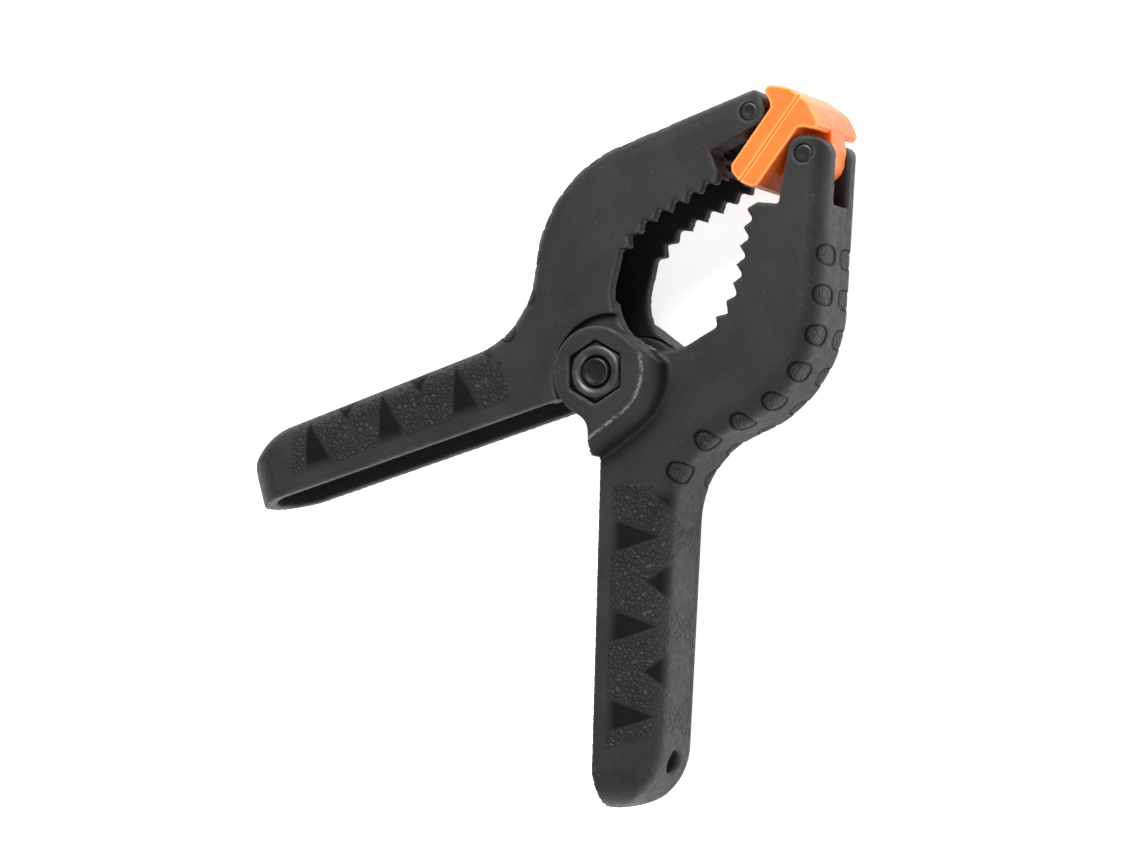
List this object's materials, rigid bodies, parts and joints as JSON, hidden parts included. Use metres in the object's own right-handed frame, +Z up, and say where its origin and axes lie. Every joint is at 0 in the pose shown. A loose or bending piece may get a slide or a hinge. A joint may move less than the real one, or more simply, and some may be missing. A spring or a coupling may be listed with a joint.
{
  "type": "spring clamp",
  "caption": "Hand spring clamp with toothed black plastic jaws, swivelling orange pads and a bolted pivot.",
  "frame": {"origin": "centre of the bounding box at its bottom, with the clamp lying on its side on the outer ear of the left-hand lever", "axes": "+Y from the handles towards the jaws, +Z up along the pivot bolt towards the nut, +X towards the right-hand lever"},
  "size_m": [0.1074, 0.132, 0.031],
  "materials": {
    "lever_plastic": "fine-grained charcoal black, glass-filled",
    "pad_plastic": "satin orange, slightly see-through at thin edges",
    "pin_steel": "dark oiled steel",
    "black_steel": "black oxide with worn bright edges",
    "spring_steel": "oiled spring wire"
  },
  "bodies": {
    "left_lever": {"left_lever": "lever_plastic", "left_pad_pin": "pin_steel", "pivot_bolt": "black_steel", "torsion_spring": "spring_steel"},
    "right_lever": {"right_lever": "lever_plastic", "right_pad_pin": "pin_steel", "pivot_nut": "black_steel"},
    "left_pad": {"left_pad": "pad_plastic"},
    "right_pad": {"right_pad": "pad_plastic"}
  },
  "joints": [
    {"name": "jaw_hinge", "type": "hinge", "parent": "left_lever", "child": "right_lever", "pos_m": [0, 0.00129, 0.0155], "axis": [0, 0, -1], "range_deg": [0, 36], "stiffness_Nm_per_rad": 0.8, "springref_deg": -57.3, "deforming": ["torsion_spring"]},
    {"name": "left_pad_swivel", "type": "hinge", "parent": "left_lever", "child": "left_pad", "pos_m": [-0.007, 0.05759, 0.0155], "axis": [0, 0, -1], "range_deg": [0, 18]},
    {"name": "right_pad_swivel", "type": "hinge", "parent": "right_lever", "child": "right_pad", "pos_m": [0.007, 0.05759, 0.0155], "axis": [0, 0, 1], "range_deg": [0, 18]}
  ],
  "couplings": [
    {"joint": "left_pad_swivel", "follows": "jaw_hinge", "ratio": 0.5},
    {"joint": "right_pad_swivel", "follows": "jaw_hinge", "ratio": 0.5}
  ]
}
